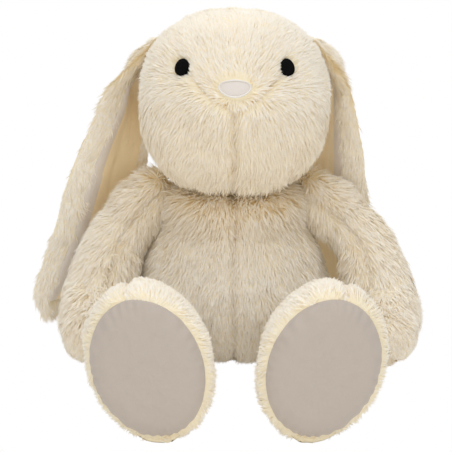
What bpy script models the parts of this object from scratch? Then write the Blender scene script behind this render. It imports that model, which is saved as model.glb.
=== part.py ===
"""A sitting plush rabbit with long lop ears, as the separate panels, fillings and trim sewn together.

The rabbit faces -Y and sits on z = 0 with the middle of its seat at the origin. Left and right are the
rabbit's own, so its left side is +X. All lengths are metres. Every stuffed part is a fur fabric cover cut in
panels round a fibre filling, and each limb, ear and the head turn about the line where they are sewn on.
"""

import math

import bmesh
import bpy
import numpy as np
from mathutils import Vector

# Driving dimensions.
HEAD_CENTRE = np.array([0.0, -0.004, 0.254])
HEAD_HALF = np.array([0.0935, 0.087, 0.0900])  # half width, half depth and half height
HEAD_ROUND = 2.3  # 2 is an ellipsoid, and more is squarer
SNOUT_RISE = math.radians(9)  # how far the snout points above level
SNOUT_OUT = 0.013
NECK_PIVOT = (0.0, 0.0, 0.162)
TORSO_FRONT, TORSO_BACK = 0.93, 0.80  # depth over half width, before and behind the middle
SEAT_RADIUS = 0.0612
ARM_PIVOT = (0.0800, 0.003, 0.1565)
LEG_PIVOT = (0.0650, -0.1010, 0.044)
EAR_PIVOT = (0.0795, 0.019, 0.3220)
TAIL_CENTRE, TAIL_RADIUS = np.array([0.0, 0.1065, 0.046]), 0.026
FUR = 0.006  # the fur fabric, with its pile pressed flat
VELOUR = 0.0022  # the short-pile fabric of the soles and the ear linings
GAP = 0.0003  # between pieces that are sewn or rest together
FILL_GAP = 0.0016  # between a cover and the fibre inside it
FLOOR = 0.0008  # the lowest that a limb hangs above the surface, before it settles

CREAM = (0.90, 0.83, 0.68, 1.0)
PALE = (0.74, 0.69, 0.62, 1.0)
WHITE = (0.93, 0.92, 0.90, 1.0)
BLACK = (0.010, 0.010, 0.012, 1.0)


def clear_scene():
    for obj in list(bpy.data.objects):
        bpy.data.objects.remove(obj, do_unlink=True)


def material(name, colour, roughness):
    made = bpy.data.materials.new(name)
    made.use_nodes = True
    shader = made.node_tree.nodes["Principled BSDF"]
    shader.inputs["Base Color"].default_value = colour
    shader.inputs["Roughness"].default_value = roughness
    shader.inputs["Metallic"].default_value = 0.0
    return made


def smooth_table(rows, t):
    """The row at t of a table whose first column rises, by a cubic through its points."""
    rows = np.asarray(rows, float)
    x, y = rows[:, 0], rows[:, 1:]
    slope = np.gradient(y, x, axis=0)
    i = int(np.clip(np.searchsorted(x, t) - 1, 0, len(x) - 2))
    h = x[i + 1] - x[i]
    s = (t - x[i]) / h
    return (
        (1 + 2 * s) * (1 - s) ** 2 * y[i]
        + s * (1 - s) ** 2 * h * slope[i]
        + s * s * (3 - 2 * s) * y[i + 1]
        + s * s * (s - 1) * h * slope[i + 1]
    )


def unit(v):
    return v / np.linalg.norm(v)


def make_object(name, bm, colour, origin, parent):
    bmesh.ops.remove_doubles(bm, verts=bm.verts, dist=1e-6)
    bmesh.ops.recalc_face_normals(bm, faces=bm.faces)
    bmesh.ops.translate(bm, verts=bm.verts, vec=-Vector(origin))
    mesh = bpy.data.meshes.new(name)
    bm.to_mesh(mesh)
    bm.free()
    mesh.shade_smooth()
    mesh.set_sharp_from_angle(angle=math.radians(50))
    mesh.materials.append(colour)
    obj = bpy.data.objects.new(name, mesh)
    bpy.context.scene.collection.objects.link(obj)
    obj.parent = parent
    if parent is None:
        obj.location = origin
    return obj


def pivot(name, place, parent=None):
    empty = bpy.data.objects.new(name, None)
    bpy.context.scene.collection.objects.link(empty)
    base = Vector((0, 0, 0))
    if parent is not None:
        empty.parent = parent
        base = parent_place(parent)
    empty.location = Vector(place) - base
    return empty


def parent_place(obj):
    """Where an unturned chain of empties puts this one."""
    place = Vector(obj.location)
    while obj.parent is not None:
        obj = obj.parent
        place += obj.location
    return place


def add_row(bm, points):
    """A row of corners, which share one corner when they are all in one place."""
    if max(np.linalg.norm(p - points[0]) for p in points) < 1e-6:
        return [bm.verts.new(points[0])] * len(points)
    return [bm.verts.new(p) for p in points]


def add_face(bm, corners):
    """A face round the corners, without the ones that repeat."""
    kept = [c for c, before in zip(corners, corners[-1:] + corners[:-1]) if c is not before]
    if len(kept) > 2:
        bm.faces.new(kept)


def add_grid(bm, points, closed, flip):
    """Faces over rows of points. A row whose points are all in one place is a pole."""
    rows = [add_row(bm, row) for row in points]
    for a, b in zip(rows, rows[1:]):
        n = len(a)
        for j in range(n if closed else n - 1):
            k = (j + 1) % n
            quad = [a[j], a[k], b[k], b[j]]
            add_face(bm, quad[::-1] if flip else quad)
    return rows


def add_walls(bm, outer, inner, closed):
    """The cut edges between an outer and an inner grid."""
    loops = [(outer[0], inner[0]), (outer[-1], inner[-1])]
    if not closed:
        loops += [
            ([r[0] for r in outer], [r[0] for r in inner]),
            ([r[-1] for r in outer], [r[-1] for r in inner]),
        ]
    for i, (a, b) in enumerate(loops):
        around = closed and i < 2
        for j in range(len(a) if around else len(a) - 1):
            k = (j + 1) % len(a)
            if a[j] is not a[k]:
                add_face(bm, [a[j], a[k], b[k], b[j]])


def panel(name, outer, inner, closed, colour, origin, parent):
    """A sheet with two faces and cut edges, from matching grids of its outer and inner points."""
    bm = bmesh.new()
    a = add_grid(bm, outer, closed, False)
    b = add_grid(bm, inner, closed, True)
    add_walls(bm, a, b, closed)
    return make_object(name, bm, colour, origin, parent)


def solid(name, points, colour, origin, parent):
    """A closed body from rings that start and end at a pole or a flat end."""
    bm = bmesh.new()
    rows = add_grid(bm, points, True, False)
    for row in (rows[0], rows[-1]):
        if row[0] is not row[1]:
            bm.faces.new(row)
    return make_object(name, bm, colour, origin, parent)


# ---------------------------------------------------------------- the head


def head_direction(across, around):
    """The unit vector at an angle across (towards +X) and an angle around (0 is forward, 90 degrees up)."""
    return np.array(
        [
            math.sin(across),
            -math.cos(across) * math.cos(around),
            math.cos(across) * math.sin(around),
        ]
    )


def head_point(across, around, proud=0.0):
    """A point on the head, that far outside its cover."""
    d = head_direction(across, around)
    base = (np.abs(d / HEAD_HALF) ** HEAD_ROUND).sum() ** (-1 / HEAD_ROUND)
    snout = head_direction(0.0, SNOUT_RISE)
    off = math.acos(max(-1.0, min(1.0, float(d @ snout))))
    base += SNOUT_OUT * math.exp(-((off / 0.42) ** 2))
    low = (around + math.pi) % math.tau - math.pi + 0.65
    cheek = math.exp(-((low / 0.75) ** 2)) * math.exp(-(((abs(across) - 0.78) / 0.42) ** 2))
    base += 0.0045 * cheek * math.cos(across) ** 0.5
    return HEAD_CENTRE + d * (base + proud)


# The gusset runs from below the nose over the crown to the nape: angle around, and its half width.
GUSSET = (
    (5.0, 0.0),
    (8.0, 0.011),
    (14.0, 0.024),
    (24.0, 0.037),
    (34.0, 0.044),
    (60.0, 0.050),
    (95.0, 0.052),
    (140.0, 0.044),
    (190.0, 0.026),
    (225.0, 0.008),
    (240.0, 0.0),
)
HEAD_AROUND = [5, 6.5, 8, 11, 15, 20, 27, 35, 45, 57, 70, 84, 98, 112, 126, 140, 155, 170, 185, 200]
HEAD_AROUND += [213, 225, 240, 255, 270, 290, 310, 325, 340, 353]


def gusset_half(degrees):
    """The gusset's half width as an angle across, and 0 beyond its ends."""
    if not GUSSET[0][0] < degrees < GUSSET[-1][0]:
        return 0.0
    width = max(0.0, float(smooth_table(GUSSET, degrees)[0]))
    return math.asin(min(0.9, width / HEAD_HALF[0]))


def make_head(body, fabric, fill):
    margin = GAP / HEAD_HALF[0]
    rows_across = 6

    def cheek(side, proud):
        grid = []
        for i in range(rows_across + 1):
            share = i / rows_across
            row = []
            for degrees in HEAD_AROUND:
                start = gusset_half(degrees) + margin
                across = start + (math.pi / 2 - start) * share
                row.append(head_point(side * across, math.radians(degrees), proud))
            grid.append(row)
        return grid

    for side, label in ((1, "left"), (-1, "right")):
        panel("head_cheek_" + label, cheek(side, 0), cheek(side, -FUR), True, fabric, NECK_PIVOT, body)

    def gusset(proud):
        return [
            [
                head_point(share * max(0.0, gusset_half(a) - margin), math.radians(a), proud)
                for share in (-1, -0.6, -0.2, 0.2, 0.6, 1)
            ]
            for a in HEAD_AROUND
            if a <= GUSSET[-1][0]
        ]

    panel("head_top_gusset", gusset(0), gusset(-FUR), False, fabric, NECK_PIVOT, body)
    core = [
        [head_point(math.asin(math.cos(h)), a, -FUR - 2 * FILL_GAP) for a in ring(28)]
        for h in np.linspace(0, math.pi, 15)
    ]
    solid("head_filling", core, fill, NECK_PIVOT, body)


def neck_hole(obj, cutter):
    cut = obj.modifiers.new("neck hole", "BOOLEAN")
    cut.operation = "DIFFERENCE"
    cut.object = cutter


def make_neck_cutter():
    """The opening under the head, where it is sewn to the torso."""
    bm = bmesh.new()
    bmesh.ops.create_cone(bm, cap_ends=True, segments=20, radius1=0.019, radius2=0.019, depth=0.024)
    cutter = make_object("neck_hole_cutter", bm, material("cutter", WHITE, 0.9), (0, 0, 0), None)
    cutter.location = (0, 0, 0.170)
    cutter.hide_render = True
    cutter.display_type = "WIRE"
    return cutter


EYE_ACROSS, EYE_AROUND = math.radians(30.5), math.radians(32)
NOSE_AROUND = math.radians(17.5)


def face_patch(name, side, centre, outline, low, high, colour, body, hole=None):
    """A flat piece of embroidery that follows the head, from an outline in metres round its centre."""

    def place(x, z, proud):
        across, around = centre
        return head_point(side * (across + x / HEAD_HALF[0]), around + z / HEAD_HALF[1], proud)

    inside = [(0.0, 0.0)] * len(outline) if hole is None else hole
    shares = (0, 1) if hole is not None else (0, 0.5, 0.85, 1)

    def grid(lift):
        rows = []
        for share in shares:
            edge = 0.6 if share == 1 and hole is None else 1.0
            top = low + (lift - low) * edge if lift > low else lift
            rows.append(
                [
                    place(a[0] + (b[0] - a[0]) * share, a[1] + (b[1] - a[1]) * share, top)
                    for a, b in zip(inside, outline)
                ]
            )
        return rows

    panel(name, grid(high), grid(low), True, colour, NECK_PIVOT, body)


def eye_outline():
    """An oval that leans in at the top."""
    lean, half_wide, half_tall = math.radians(14), 0.0072, 0.0086
    points = []
    for a in np.linspace(0, math.tau, 16, False):
        x, z = half_wide * math.cos(a), half_tall * math.sin(a)
        points.append((x * math.cos(lean) - z * math.sin(lean), x * math.sin(lean) + z * math.cos(lean)))
    return points


def nose_outline(grow=0.0):
    """A rounded triangle with a broad, nearly straight top and a rounded point below."""
    points = []
    for a in np.linspace(0, math.tau, 24, False):
        c, s = math.cos(a), math.sin(a)
        x = 0.0116 * math.copysign(abs(c) ** 0.8, c) * (1 - 0.30 * max(0.0, -s) ** 1.5)
        z = (0.0042 if s > 0 else 0.0068) * math.copysign(abs(s) ** 0.8, s)
        stretch = 1 + grow / math.hypot(x, z)
        points.append((x * stretch, z * stretch))
    return points


def make_face(body, black, velour, white):
    for side, label in ((1, "left"), (-1, "right")):
        face_patch(
            "eye_" + label, side, (EYE_ACROSS, EYE_AROUND), eye_outline(), GAP, 0.0018, black, body
        )
    nose = (0.0, NOSE_AROUND)
    face_patch("nose_patch", 1, nose, nose_outline(), GAP, 0.0018, velour, body)
    face_patch("nose_border", 1, nose, nose_outline(0.0022), GAP, 0.0026, white, body, nose_outline(GAP))


# ---------------------------------------------------------------- the torso

# The side outline from the seat's edge to the neck: share of the way, half width, height.
TORSO = (
    (0.00, 0.0680, 0.0000),
    (0.07, 0.0805, 0.0072),
    (0.16, 0.0925, 0.0235),
    (0.28, 0.0985, 0.0470),
    (0.41, 0.0975, 0.0735),
    (0.54, 0.0893, 0.0985),
    (0.66, 0.0780, 0.1215),
    (0.78, 0.0640, 0.1423),
    (0.88, 0.0526, 0.1552),
    (0.95, 0.0395, 0.1594),
    (1.00, 0.0240, 0.1606),
)


def torso_point(share, turn, inset=0.0):
    """A point on the torso at a share of its outline and a turn from +X through +Y, that far inside."""
    half, height = smooth_table(TORSO, share)
    ahead = smooth_table(TORSO, min(1.0, share + 0.01))
    behind = smooth_table(TORSO, max(0.0, share - 0.01))
    along = unit(ahead - behind)
    half -= inset * along[1]
    height += inset * along[0]
    c, s = math.cos(turn * math.tau), math.sin(turn * math.tau)
    depth = TORSO_BACK if s > 0 else TORSO_FRONT
    return np.array([half * c, half * s * depth, height])


def make_torso(fabric, fill, seat_cloth, pellets, thread):
    shares = [row[0] for row in TORSO]
    quarters = (("back_left", 0.0), ("back_right", 0.25), ("front_right", 0.5), ("front_left", 0.75))
    for label, start in quarters:
        turns = [start + 0.05 * k for k in range(6)]
        middle = (start + 0.125) * math.tau
        apart = GAP * 1.5 * np.array([math.cos(middle), math.sin(middle), 0])
        outer = [[torso_point(s, t) + apart for t in turns] for s in shares]
        inner = [[torso_point(s, t, FUR) + apart for t in turns] for s in shares]
        for row in inner[:1]:
            for point in row:
                point[2] = 0.0
        panel("torso_" + label, outer, inner, False, fabric, (0, 0, 0), None)

    def disc(radius, height):
        return [
            np.array([radius * c, radius * s * (TORSO_BACK if s > 0 else TORSO_FRONT), height])
            for a in np.linspace(0, math.tau, 24, False)
            for c, s in ((math.cos(a), math.sin(a)),)
        ]

    solid("seat_panel", [disc(SEAT_RADIUS, 0), disc(SEAT_RADIUS, 0.004)], seat_cloth, (0, 0, 0), None)
    pouch_rings = (
        (0.052, 0.0052),
        (0.060, 0.010),
        (0.074, 0.020),
        (0.078, 0.030),
        (0.070, 0.037),
        (0.0, 0.0385),
    )
    pouch = [disc(r, z) for r, z in pouch_rings]
    solid("seat_bean_bag", pouch, pellets, (0, 0, 0), None)
    core = [[np.array([0, 0, 0.0392])] * 20]
    for r, z in ((0.072, 0.0392), (0.083, 0.046)):
        core.append([np.array([r * math.cos(a), 0.82 * r * math.sin(a), z]) for a in ring(20)])
    for share in (0.41, 0.54, 0.66, 0.78, 0.88, 0.95, 1.0):
        core.append([torso_point(share, a / math.tau, FUR + FILL_GAP) for a in ring(20)])
    core.append([np.array([0, 0, core[-1][0][2]])] * 20)
    solid("torso_filling", core, fill, (0, 0, 0), None)

    bm = bmesh.new()
    loop = []
    for a in ring(24):
        radial = np.array([math.cos(a), 0.88 * math.sin(a), 0])
        centre = radial * 0.0205 + np.array([0, 0, 0.1588])
        up = np.array([0, 0, 1])
        loop.append([centre + 0.0011 * (radial * math.cos(b) + up * math.sin(b)) for b in ring(6)])
    rows = add_grid(bm, loop, True, False)
    for j in range(len(rows[0])):
        k = (j + 1) % len(rows[0])
        add_face(bm, [rows[-1][j], rows[-1][k], rows[0][k], rows[0][j]])
    make_object("neck_stitching", bm, thread, (0, 0, 0), None)


def ring(n):
    return np.linspace(0, math.tau, n, False)


def ball(centre, radius, rows, columns):
    return [
        [
            centre + radius * np.array([math.sin(h) * math.cos(a), -math.cos(h), math.sin(h) * math.sin(a)])
            for a in ring(columns)
        ]
        for h in rows
    ]


def make_tail(fabric, fill, ribbon):
    """A round tail, gathered where it is sewn on, and the blank care label in the seam beside it."""
    rows = np.linspace(math.radians(24), math.pi, 9)
    outer = ball(TAIL_CENTRE, TAIL_RADIUS, rows, 18)
    inner = ball(TAIL_CENTRE, TAIL_RADIUS - FUR / 2, rows, 18)
    panel("tail_cover", outer, inner, True, fabric, (0, 0, 0), None)
    core = ball(TAIL_CENTRE, TAIL_RADIUS - FUR / 2 - 2 * GAP, np.linspace(0, math.pi, 8), 14)
    solid("tail_filling", core, fill, (0, 0, 0), None)

    turn, half_wide, thick = 0.165, 0.012, 0.0010
    across = np.array([-math.sin(turn * math.tau), math.cos(turn * math.tau), 0])
    out, down = np.array([across[1], -across[0], 0]), np.array([0, 0, 1])
    top = torso_point(0.26, turn) + out * 0.0022
    drops = ((0.0, 0.0), (0.012, 0.0015), (0.024, 0.0040), (0.034, 0.0075))

    def side(lift):
        return [
            [top + across * w + out * (swing + lift) - down * drop for w in (-half_wide, half_wide)]
            for drop, swing in drops
        ]

    panel("care_label", side(thick), side(0.0), False, ribbon, (0, 0, 0), None)


# ---------------------------------------------------------------- the limbs


def limb(stations, lateral, mirror, caps):
    """A function of (share, turn, inset) on a limb that is swept along its stations.

    A station is a distance along, x, y, z, half width, half height and roll in degrees. Caps round the ends
    off: a share from 0 to 0.12 is the first cap, and from 0.88 to 1 the last.
    """
    table = np.array(stations, float)
    first, last = table[0, 0], table[-1, 0]

    def frame(t):
        row = smooth_table(table, t)
        step = 0.02 * (last - first)
        along = unit(
            smooth_table(table, min(last, t + step))[:3] - smooth_table(table, max(first, t - step))[:3]
        )
        wide = unit(lateral - (lateral @ along) * along)
        tall = np.cross(wide, along)
        roll = math.radians(row[5])
        turned = wide * math.cos(roll) + tall * math.sin(roll)
        return row, along, turned, tall * math.cos(roll) - wide * math.sin(roll)

    def point(share, turn, inset=0.0):
        begin, end = (0.12 if caps[0] else 0.0), (0.88 if caps[1] else 1.0)
        back = 0.0
        squeeze = 1.0
        if share < begin:
            angle = (1 - share / begin) * math.pi / 2
            t, back, squeeze = first, -math.sin(angle), math.cos(angle)
        elif share > end:
            angle = (share - end) / (1 - end) * math.pi / 2
            t, back, squeeze = last, math.sin(angle), math.cos(angle)
        else:
            t = first + (last - first) * (share - begin) / (end - begin)
        row, along, wide, tall = frame(t)
        a, b = row[3] - inset, row[4] - inset
        c, s = math.cos(turn * math.tau), math.sin(turn * math.tau)
        place = row[:3] + along * back * a + squeeze * (wide * a * c + tall * b * s)
        place[2] = max(place[2], FLOOR + inset)
        return place * np.array([mirror, 1, 1])

    return point


def half_cover(name, point, turns, shares, apart, fabric, origin, parent):
    outer = [[point(s, t) + apart for t in turns] for s in shares]
    inner = [[point(s, t, FUR) + apart for t in turns] for s in shares]
    panel(name, outer, inner, False, fabric, origin, parent)


# The left arm: distance along, x, y, z, half width, half height, roll.
ARM = (
    (0.000, 0.0800, 0.0030, 0.1565, 0.0195, 0.0195, 0),
    (0.028, 0.1010, -0.0030, 0.1370, 0.0265, 0.0265, 0),
    (0.056, 0.1195, -0.0120, 0.1125, 0.0310, 0.0310, 0),
    (0.088, 0.1310, -0.0270, 0.0850, 0.0350, 0.0350, 0),
    (0.119, 0.1378, -0.0450, 0.0600, 0.0365, 0.0362, 0),
    (0.147, 0.1398, -0.0680, 0.0450, 0.0355, 0.0350, 0),
    (0.165, 0.1390, -0.0850, 0.0390, 0.0320, 0.0320, 0),
)
ARM_LATERAL = unit(np.array([0.80, 0.05, 0.60]))
# How much further out than the right arm the left one lies.
ARM_SPREAD = {"left": 0.0085, "right": -0.0025}
LIMB_TURNS = 6


def arm_stations(extra):
    """The arm's stations, swung out by that much at the paw."""
    return [(d, x + extra * min(1.0, d / 0.06), y, z, a, b, r) for d, x, y, z, a, b, r in ARM]


def make_arm(side, label, fabric, fill):
    origin = (side * ARM_PIVOT[0], ARM_PIVOT[1], ARM_PIVOT[2])
    body = pivot("arm_%s_pivot" % label, origin)
    point = limb(arm_stations(ARM_SPREAD[label]), ARM_LATERAL, side, (True, True))
    shares = [0, 0.06, 0.12, 0.28, 0.45, 0.60, 0.75, 0.88, 0.92, 0.96, 1.0]
    apart = GAP * 1.2 * ARM_LATERAL * np.array([side, 1, 1])
    outer_turns = [-0.25 + 0.5 * k / LIMB_TURNS for k in range(LIMB_TURNS + 1)]
    inner_turns = [0.25 + 0.5 * k / LIMB_TURNS for k in range(LIMB_TURNS + 1)]
    half_cover("arm_%s_outer" % label, point, outer_turns, shares, apart, fabric, origin, body)
    half_cover("arm_%s_inner" % label, point, inner_turns, shares, -apart, fabric, origin, body)
    core = [[point(s, t, FUR + FILL_GAP) for t in ring(12) / math.tau] for s in shares]
    solid("arm_%s_filling" % label, core, fill, origin, body)


# The left leg, from the hip to the sole, in the same columns.
LEG = (
    (0.000, 0.0650, -0.1010, 0.0440, 0.0245, 0.0245, 0),
    (0.024, 0.0665, -0.1240, 0.0425, 0.0365, 0.0370, 0),
    (0.052, 0.0685, -0.1500, 0.0460, 0.0415, 0.0440, 5),
    (0.082, 0.0705, -0.1780, 0.0560, 0.0465, 0.0545, 11),
    (0.110, 0.0720, -0.2040, 0.0675, 0.0515, 0.0660, 14),
    (0.132, 0.0725, -0.2250, 0.0728, 0.0545, 0.0722, 15),
    (0.150, 0.0730, -0.2420, 0.0735, 0.0540, 0.0715, 15),
    (0.160, 0.0735, -0.2510, 0.0732, 0.0490, 0.0655, 15),
)
LEG_LATERAL = np.array([1.0, 0.0, 0.0])


def make_leg(side, label, fabric, fill, velour):
    origin = (side * LEG_PIVOT[0], LEG_PIVOT[1], LEG_PIVOT[2])
    body = pivot("leg_%s_pivot" % label, origin)
    point = limb(LEG, LEG_LATERAL, side, (True, False))
    shares = [0, 0.06, 0.12, 0.26, 0.41, 0.56, 0.70, 0.82, 0.91, 0.96, 1.0]
    apart = GAP * 1.2 * LEG_LATERAL * np.array([side, 1, 1])
    outer_turns = [-0.25 + 0.5 * k / LIMB_TURNS for k in range(LIMB_TURNS + 1)]
    inner_turns = [0.25 + 0.5 * k / LIMB_TURNS for k in range(LIMB_TURNS + 1)]
    half_cover("leg_%s_outer" % label, point, outer_turns, shares, apart, fabric, origin, body)
    half_cover("leg_%s_inner" % label, point, inner_turns, shares, -apart, fabric, origin, body)
    edge = [point(1.0, t, 0.0012) for t in ring(24) / math.tau]
    middle = sum(edge) / len(edge)
    normal = unit(np.cross(edge[6] - middle, edge[0] - middle))
    normal *= -1 if normal[1] > 0 else 1
    near, far = GAP, GAP + VELOUR

    def sole(lift, share):
        swell = 0.0035 * (1 - share**2)
        return [middle + (p - middle) * share + normal * (lift + swell) for p in edge]

    outer = [sole(far, s) for s in (0, 0.5, 0.85, 1)]
    inner = [sole(near, s) for s in (0, 0.5, 0.85, 1)]
    panel("sole_%s" % label, outer, inner, True, velour, origin, body)
    core = [[point(s, t, FUR + FILL_GAP) for t in ring(12) / math.tau] for s in shares]
    solid("leg_%s_filling" % label, core, fill, origin, body)


# ---------------------------------------------------------------- the ears

# The ear's front edge from its root: share of the way, x, y, z, then its width and the turn of the flap,
# where 90 lies along Y and 0 across the rabbit. Both hang behind the arms, the right one further out.
EAR = {
    "right": (
        (0.00, 0.0800, 0.0005, 0.3230, 0.038, 80),
        (0.06, 0.0935, -0.0030, 0.3055, 0.050, 74),
        (0.18, 0.1150, -0.0060, 0.2775, 0.066, 56),
        (0.32, 0.1370, -0.0040, 0.2370, 0.078, 28),
        (0.46, 0.1580, 0.0060, 0.1940, 0.082, 12),
        (0.60, 0.1750, 0.0190, 0.1500, 0.088, 4),
        (0.74, 0.1880, 0.0290, 0.1060, 0.086, 2),
        (0.87, 0.2040, 0.0330, 0.0600, 0.074, 0),
        (0.95, 0.2110, 0.0340, 0.0340, 0.056, 0),
        (1.00, 0.2060, 0.0350, 0.0150, 0.026, 0),
    ),
    "left": (
        (0.00, 0.0800, 0.0005, 0.3230, 0.038, 80),
        (0.06, 0.0930, -0.0020, 0.3055, 0.050, 78),
        (0.18, 0.1100, 0.0005, 0.2750, 0.062, 66),
        (0.32, 0.1220, 0.0090, 0.2340, 0.072, 46),
        (0.46, 0.1320, 0.0220, 0.1890, 0.082, 26),
        (0.60, 0.1380, 0.0360, 0.1450, 0.088, 16),
        (0.74, 0.1430, 0.0460, 0.1010, 0.086, 12),
        (0.87, 0.1460, 0.0500, 0.0570, 0.074, 8),
        (0.95, 0.1450, 0.0510, 0.0310, 0.056, 6),
        (1.00, 0.1380, 0.0520, 0.0130, 0.026, 6),
    ),
}
# Across the flap from its front edge to its back one: share, how far in, and how far back, over its width.
EAR_SECTION = (
    (0.00, 0.00, 0.00),
    (0.13, 0.12, -0.05),
    (0.26, 0.25, -0.05),
    (0.40, 0.36, 0.05),
    (0.58, 0.50, 0.20),
    (0.78, 0.70, 0.32),
    (1.00, 0.92, 0.36),
)
EAR_COLUMNS = [0, 0.13, 0.26, 0.39, 0.52, 0.64, 0.76, 0.88, 1.0]
EAR_ROOT_DROP = 0.009  # the back of the root is this much lower than the front, where the head curves away
EAR_SHARES = [0, 0.05, 0.12, 0.20, 0.29, 0.38, 0.47, 0.56, 0.65, 0.74, 0.82, 0.89, 0.95, 1.0]
EAR_LINING_GAP = 0.0009  # the lining is sewn on over the folded-in edge of the fur
EAR_CLEAR = 0.0040  # the ear's middle stays this high when its tip lies on the surface


def ear_point(label, share, across):
    side = 1 if label == "left" else -1
    x, y, z, width, turn = smooth_table(EAR[label], share)
    inward, back = smooth_table(EAR_SECTION, across) * width
    a = math.radians(turn)
    inward, back = inward * math.cos(a) - back * math.sin(a), inward * math.sin(a) + back * math.cos(a)
    z -= EAR_ROOT_DROP * across**1.5 * max(0.0, 1 - share / 0.15)
    return np.array([side * (x - inward), y + back, max(z, EAR_CLEAR)])


def ear_normal(label, share, across):
    """The way the lining faces, which is towards the head."""
    d = 0.02
    low, high = max(0.0, share - d), min(1.0, share + d)
    near, far = max(0.0, across - d), min(1.0, across + d)
    along = ear_point(label, high, across) - ear_point(label, low, across)
    over = ear_point(label, share, far) - ear_point(label, share, near)
    n = unit(np.cross(along, over))
    return n * (1 if label == "right" else -1)


def make_ear(label, head, fabric, velour):
    side = 1 if label == "left" else -1
    origin = (side * EAR_PIVOT[0], EAR_PIVOT[1], EAR_PIVOT[2])
    body = pivot("ear_%s_pivot" % label, origin, head)
    half = FUR / 2

    def grid(shares, columns, lift):
        return [
            [ear_point(label, s, c) + ear_normal(label, s, c) * lift for c in columns] for s in shares
        ]

    outer = grid(EAR_SHARES, EAR_COLUMNS, -half), grid(EAR_SHARES, EAR_COLUMNS, half)
    panel("ear_%s_outer" % label, *outer, False, fabric, origin, body)
    narrow = [c for c in EAR_COLUMNS if 0.2 < c < 0.9]
    inside = [s for s in EAR_SHARES if 0.1 <= s <= 0.95]
    low = half + EAR_LINING_GAP
    lining = grid(inside, narrow, low), grid(inside, narrow, low + VELOUR)
    panel("ear_%s_lining" % label, *lining, False, velour, origin, body)


def main():
    clear_scene()
    fur = material("fur_cream", CREAM, 0.95)
    velour = material("velour_pale", PALE, 0.9)
    nose_velour = material("nose_velour", PALE, 0.85)
    white_thread = material("thread_white", WHITE, 0.55)
    black_thread = material("thread_black", BLACK, 0.5)
    cream_thread = material("thread_cream", CREAM, 0.6)
    fill = material("fibre_white", WHITE, 1.0)
    pellets = material("pellets", WHITE, 0.6)
    ribbon = material("label_satin", WHITE, 0.4)

    make_torso(fur, fill, fur, pellets, cream_thread)
    make_tail(fur, fill, ribbon)
    head = pivot("neck_pivot", NECK_PIVOT)
    make_head(head, fur, fill)
    make_face(head, black_thread, nose_velour, white_thread)
    cutter = make_neck_cutter()
    for name in ("head_cheek_left", "head_cheek_right"):
        neck_hole(bpy.data.objects[name], cutter)
    for side, label in ((1, "left"), (-1, "right")):
        make_ear(label, head, fur, velour)
        make_arm(side, label, fur, fill)
        make_leg(side, label, fur, fill, velour)


main()
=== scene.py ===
"""The looks of a sitting plush rabbit with long lop ears: its fur, velour, embroidery, light and camera.

Each fur panel is a skin just inside the CAD panel with a coat of tapered tufts rooted on it. A point on a
panel is u, v from 0 to 1. The functions of place take whole arrays of points, and sizes are in metres.
"""

import math

import bpy
import numpy as np
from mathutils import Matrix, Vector


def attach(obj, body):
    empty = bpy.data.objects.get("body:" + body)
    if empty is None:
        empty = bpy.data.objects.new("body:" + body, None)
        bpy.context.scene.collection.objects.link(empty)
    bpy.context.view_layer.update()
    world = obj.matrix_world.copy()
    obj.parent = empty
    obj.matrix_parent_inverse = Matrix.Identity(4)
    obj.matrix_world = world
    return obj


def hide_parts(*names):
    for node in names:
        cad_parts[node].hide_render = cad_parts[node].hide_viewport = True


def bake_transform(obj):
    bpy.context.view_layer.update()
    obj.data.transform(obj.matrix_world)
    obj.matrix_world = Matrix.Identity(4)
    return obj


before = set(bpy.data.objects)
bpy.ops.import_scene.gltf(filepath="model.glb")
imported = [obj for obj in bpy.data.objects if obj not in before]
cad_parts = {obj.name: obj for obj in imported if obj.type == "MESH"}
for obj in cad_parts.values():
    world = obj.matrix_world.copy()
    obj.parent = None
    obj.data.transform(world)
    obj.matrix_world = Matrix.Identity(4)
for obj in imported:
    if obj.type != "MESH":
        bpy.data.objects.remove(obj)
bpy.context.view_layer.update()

# ---------------------------------------------------------------- the object's shape, as the CAD part has it

HEAD_CENTRE = np.array([0.0, -0.004, 0.254])
HEAD_HALF = np.array([0.0935, 0.087, 0.0900])
HEAD_ROUND = 2.3
SNOUT_RISE = math.radians(9)
SNOUT_OUT, SNOUT_WIDE = 0.013, 0.42  # how far it stands out, and how far round it fades, in radians
CHEEK_OUT = 0.0045
CHEEK_ACROSS, CHEEK_WIDE = 0.78, 0.42  # where a cheek's bulge is across the head, and how far it fades
CHEEK_AROUND, CHEEK_TALL = -0.65, 0.75  # and the same going round it
CHEEK_START = math.radians(5)  # where the cheek panels begin, under the nose
TORSO_FRONT, TORSO_BACK = 0.93, 0.80
ARM_PIVOT = (0.0800, 0.003, 0.1565)
LEG_PIVOT = (0.0650, -0.1010, 0.044)
EAR_PIVOT = (0.0795, 0.019, 0.3220)
TAIL_CENTRE, TAIL_RADIUS = np.array([0.0, 0.1065, 0.046]), 0.026
EYE_ACROSS, EYE_AROUND = math.radians(30.5), math.radians(32)
NOSE_AROUND = math.radians(17.5)
GUSSET_START, GUSSET_TURN = 5.2, 234.6  # in degrees
# Where it is round the head, in degrees, and the gusset's half width there.
GUSSET = np.array(
    [
        (5.0, 0.0),
        (8.0, 0.011),
        (14.0, 0.024),
        (24.0, 0.037),
        (34.0, 0.044),
        (60.0, 0.050),
        (95.0, 0.052),
        (140.0, 0.044),
        (190.0, 0.026),
        (225.0, 0.008),
        (240.0, 0.0),
    ]
)
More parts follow.
